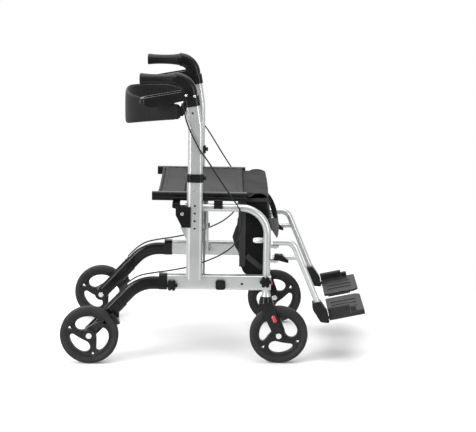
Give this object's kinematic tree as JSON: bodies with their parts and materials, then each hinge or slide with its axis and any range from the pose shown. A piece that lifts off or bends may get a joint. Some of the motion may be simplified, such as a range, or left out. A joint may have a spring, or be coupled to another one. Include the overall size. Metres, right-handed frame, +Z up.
{
  "type": "rollator transport chair",
  "caption": "Folding wheeled walker with a fabric seat, back band, height-adjustable brake handles, front bag and swing-away legrests with flip-up footplates.",
  "frame": {"origin": "on the ground, in the middle of the chair's length and width", "axes": "+X forward towards the footplates, +Y to the sitter's left, +Z up"},
  "size_m": [1.0456, 0.619, 1.003],
  "materials": {
    "silver_tube": "anodised",
    "black_plastic": "moulded",
    "black_frame": "powder coat",
    "black_rail": "powder coat",
    "rim_black": "moulded",
    "tyre_black": "solid tyre",
    "bright_steel": "zinc plated",
    "grip_rubber": "soft grip",
    "brake_rubber": "moulded",
    "cable_jacket": "jacket",
    "grey_plastic": "moulded, ribbed",
    "seat_fabric": "woven nylon",
    "bag_fabric": "coated nylon",
    "webbing": "woven webbing",
    "band_foam": "padded sleeve"
  },
  "bodies": {
    "right_frame": {"lower_rail_r": "silver_tube", "main_post_r": "silver_tube", "front_tube_r": "silver_tube", "post_collar_r": "black_plastic", "rear_leg_r": "black_frame", "frame_bolts_r": "bright_steel", "star_knobs_r": "black_plastic", "seat_brackets_r": "black_plastic", "brake_cable_r": "cable_jacket", "bag": "bag_fabric", "calf_strap": "webbing"},
    "brace_a": {"brace_bar_a": "silver_tube", "seat_rail_l": "black_rail"},
    "brace_b": {"brace_bar_b": "silver_tube", "seat_rail_r": "black_rail"},
    "left_frame": {"lower_rail_l": "silver_tube", "main_post_l": "silver_tube", "front_tube_l": "silver_tube", "post_collar_l": "black_plastic", "rear_leg_l": "black_frame", "frame_bolts_l": "bright_steel", "star_knobs_l": "black_plastic", "seat_brackets_l": "black_plastic", "brake_cable_l": "cable_jacket"},
    "seat": {"seat_sling": "seat_fabric"},
    "rear_wheel_l": {"rear_tyre_l": "tyre_black", "rear_rim_l": "rim_black"},
    "caster_l": {"caster_fork_l": "black_frame", "caster_pins_l": "bright_steel"},
    "front_wheel_l": {"front_tyre_l": "tyre_black", "front_rim_l": "rim_black"},
    "handle_l": {"handle_tube_l": "silver_tube", "handle_elbow_l": "black_plastic", "grip_l": "grip_rubber"},
    "brake_lever_l": {"brake_lever_l": "black_plastic"},
    "height_button_l": {"height_button_l": "bright_steel"},
    "brake_shoe_l": {"brake_shoe_l": "brake_rubber"},
    "legrest_l": {"legrest_tube_l": "silver_tube", "footplate_hinge_l": "black_plastic"},
    "legrest_latch_l": {"legrest_latch_l": "black_plastic"},
    "footplate_l": {"footplate_l": "grey_plastic"},
    "rear_wheel_r": {"rear_tyre_r": "tyre_black", "rear_rim_r": "rim_black"},
    "caster_r": {"caster_fork_r": "black_frame", "caster_pins_r": "bright_steel"},
    "front_wheel_r": {"front_tyre_r": "tyre_black", "front_rim_r": "rim_black"},
    "handle_r": {"handle_tube_r": "silver_tube", "handle_elbow_r": "black_plastic", "grip_r": "grip_rubber"},
    "brake_lever_r": {"brake_lever_r": "black_plastic"},
    "height_button_r": {"height_button_r": "bright_steel"},
    "brake_shoe_r": {"brake_shoe_r": "brake_rubber"},
    "legrest_r": {"legrest_tube_r": "silver_tube", "footplate_hinge_r": "black_plastic"},
    "legrest_latch_r": {"legrest_latch_r": "black_plastic"},
    "footplate_r": {"footplate_r": "grey_plastic"},
    "bag_lid": {"bag_lid": "bag_fabric"},
    "backrest": {"back_band": "band_foam"}
  },
  "joints": [
    {"name": "fold", "type": "hinge", "parent": "right_frame", "child": "brace_a", "pos_m": [-0.03578, -0.215, 0.283], "axis": [1, 0, 0], "range_deg": [0, 42], "deforming": ["seat_sling", "bag", "bag_lid", "calf_strap", "back_band"]},
    {"name": "brace_cross", "type": "hinge", "parent": "brace_a", "child": "brace_b", "pos_m": [-0.03128, 0, 0.42316], "axis": [1, 0, 0], "range_deg": [-84, 0]},
    {"name": "fold_left", "type": "hinge", "parent": "brace_b", "child": "left_frame", "pos_m": [-0.02678, 0.215, 0.283], "axis": [1, 0, 0], "range_deg": [0, 42]},
    {"name": "seat_level", "type": "hinge", "parent": "brace_a", "child": "seat", "pos_m": [-0.03578, 0.236, 0.577], "axis": [1, 0, 0], "range_deg": [-42, 0]},
    {"name": "rear_wheel_spin_l", "type": "hinge", "parent": "left_frame", "child": "rear_wheel_l", "pos_m": [-0.42278, 0.2855, 0.1], "axis": [0, 1, 0], "continuous": true},
    {"name": "caster_swivel_l", "type": "hinge", "parent": "left_frame", "child": "caster_l", "pos_m": [0.17922, 0.252, 0.22], "axis": [0, 0, 1], "continuous": true},
    {"name": "front_wheel_spin_l", "type": "hinge", "parent": "caster_l", "child": "front_wheel_l", "pos_m": [0.22522, 0.252, 0.1], "axis": [0, 1, 0], "continuous": true},
    {"name": "handle_height_l", "type": "slide", "parent": "left_frame", "child": "handle_l", "axis": [0, 0, 1], "range_m": [-0.13, 0], "deforming": ["brake_cable_l"]},
    {"name": "brake_squeeze_l", "type": "hinge", "parent": "handle_l", "child": "brake_lever_l", "pos_m": [-0.09906, 0.281, 0.93], "axis": [0, 1, 0], "range_deg": [0, 14], "stiffness_Nm_per_rad": 4},
    {"name": "button_push_l", "type": "slide", "parent": "handle_l", "child": "height_button_l", "axis": [0, 1, 0], "range_m": [0, 0.0032]},
    {"name": "brake_shoe_turn_l", "type": "hinge", "parent": "left_frame", "child": "brake_shoe_l", "pos_m": [-0.33087, 0.266, 0.19776], "axis": [0, 1, 0], "range_deg": [0, 3]},
    {"name": "legrest_swing_l", "type": "hinge", "parent": "left_frame", "child": "legrest_l", "pos_m": [0.20822, 0.252, 0.425], "axis": [0, 0, 1], "range_deg": [0, 86]},
    {"name": "latch_press_l", "type": "hinge", "parent": "legrest_l", "child": "legrest_latch_l", "pos_m": [0.23222, 0.252, 0.371], "axis": [0, 1, 0], "range_deg": [0, 20], "stiffness_Nm_per_rad": 0.5},
    {"name": "footplate_flip_l", "type": "hinge", "parent": "legrest_l", "child": "footplate_l", "pos_m": [0.39822, 0.235, 0.157], "axis": [-0.9781, 0, -0.2079], "range_deg": [0, 90]},
    {"name": "rear_wheel_spin_r", "type": "hinge", "parent": "right_frame", "child": "rear_wheel_r", "pos_m": [-0.42278, -0.2855, 0.1], "axis": [0, 1, 0], "continuous": true},
    {"name": "caster_swivel_r", "type": "hinge", "parent": "right_frame", "child": "caster_r", "pos_m": [0.17922, -0.252, 0.22], "axis": [0, 0, 1], "continuous": true},
    {"name": "front_wheel_spin_r", "type": "hinge", "parent": "caster_r", "child": "front_wheel_r", "pos_m": [0.22522, -0.252, 0.1], "axis": [0, 1, 0], "continuous": true},
    {"name": "handle_height_r", "type": "slide", "parent": "right_frame", "child": "handle_r", "axis": [0, 0, 1], "range_m": [-0.13, 0], "deforming": ["brake_cable_r"]},
    {"name": "brake_squeeze_r", "type": "hinge", "parent": "handle_r", "child": "brake_lever_r", "pos_m": [-0.09906, -0.281, 0.93], "axis": [0, 1, 0], "range_deg": [0, 14], "stiffness_Nm_per_rad": 4},
    {"name": "button_push_r", "type": "slide", "parent": "handle_r", "child": "height_button_r", "axis": [0, -1, 0], "range_m": [0, 0.0032]},
    {"name": "brake_shoe_turn_r", "type": "hinge", "parent": "right_frame", "child": "brake_shoe_r", "pos_m": [-0.33087, -0.266, 0.19776], "axis": [0, 1, 0], "range_deg": [0, 3]},
    {"name": "legrest_swing_r", "type": "hinge", "parent": "right_frame", "child": "legrest_r", "pos_m": [0.20822, -0.252, 0.425], "axis": [0, 0, -1], "range_deg": [0, 86]},
    {"name": "latch_press_r", "type": "hinge", "parent": "legrest_r", "child": "legrest_latch_r", "pos_m": [0.23222, -0.252, 0.371], "axis": [0, 1, 0], "range_deg": [0, 20], "stiffness_Nm_per_rad": 0.5},
    {"name": "footplate_flip_r", "type": "hinge", "parent": "legrest_r", "child": "footplate_r", "pos_m": [0.39822, -0.235, 0.157], "axis": [0.9781, 0, 0.2079], "range_deg": [0, 90]},
    {"name": "bag_lid_lift", "type": "hinge", "parent": "right_frame", "child": "bag_lid", "pos_m": [0.11122, 0, 0.5803], "axis": [0, -1, 0], "range_deg": [0, 95]},
    {"name": "backrest_flip", "type": "hinge", "parent": "handle_r", "child": "backrest", "pos_m": [-0.11676, 0, 0.867], "axis": [0, 1, 0], "range_deg": [0, 180]}
  ],
  "couplings": [
    {"joint": "brace_cross", "follows": "fold", "ratio": -2},
    {"joint": "fold_left", "follows": "fold", "ratio": 1},
    {"joint": "seat_level", "follows": "fold", "ratio": -1},
    {"joint": "handle_height_l", "follows": "handle_height_r", "ratio": 1},
    {"joint": "brake_shoe_turn_l", "follows": "brake_squeeze_l", "ratio": 0.21429},
    {"joint": "footplate_flip_l", "follows": "fold", "ratio": 2.1429},
    {"joint": "brake_shoe_turn_r", "follows": "brake_squeeze_r", "ratio": 0.21429},
    {"joint": "footplate_flip_r", "follows": "fold", "ratio": 2.1429}
  ]
}
